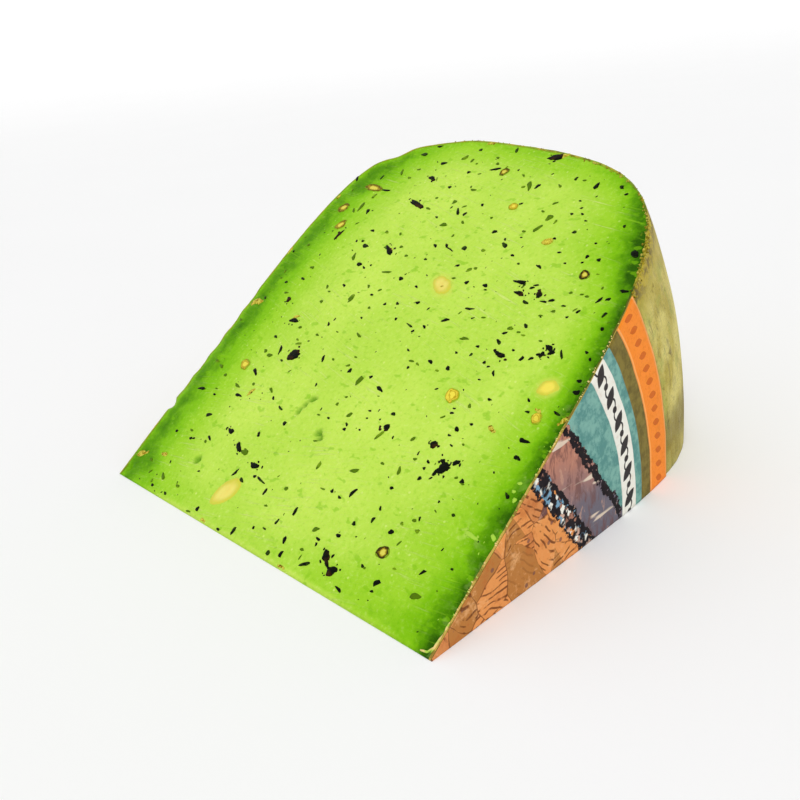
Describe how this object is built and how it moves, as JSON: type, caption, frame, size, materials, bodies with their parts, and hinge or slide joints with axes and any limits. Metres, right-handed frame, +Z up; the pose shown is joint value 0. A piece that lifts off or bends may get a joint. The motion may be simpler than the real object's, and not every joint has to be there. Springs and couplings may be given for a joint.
{
  "type": "cheese wedge",
  "caption": "Wedge of green herb cheese cut from a round wheel, with a waxy rind and a printed paper label on one side, lying on its cut face.",
  "frame": {"origin": "middle of the bounding box's underside, on the surface that the lower cut face rests on", "axes": "+Y from the thin edge towards the wheel's rim, +X from the bare rind face to the labelled face, along the wheel's axis, +Z up"},
  "size_m": [0.1138, 0.1206, 0.0708],
  "materials": {
    "green_paste": "moist cut cheese paste with herb flecks, seeds and nuts, darker green towards a khaki semi-gloss rind",
    "printed_paper": "thin satin label with printed rings and a plain countryside pattern, no lettering"
  },
  "bodies": {
    "root": {"cheese": "green_paste", "label": "printed_paper"}
  },
  "joints": []
}
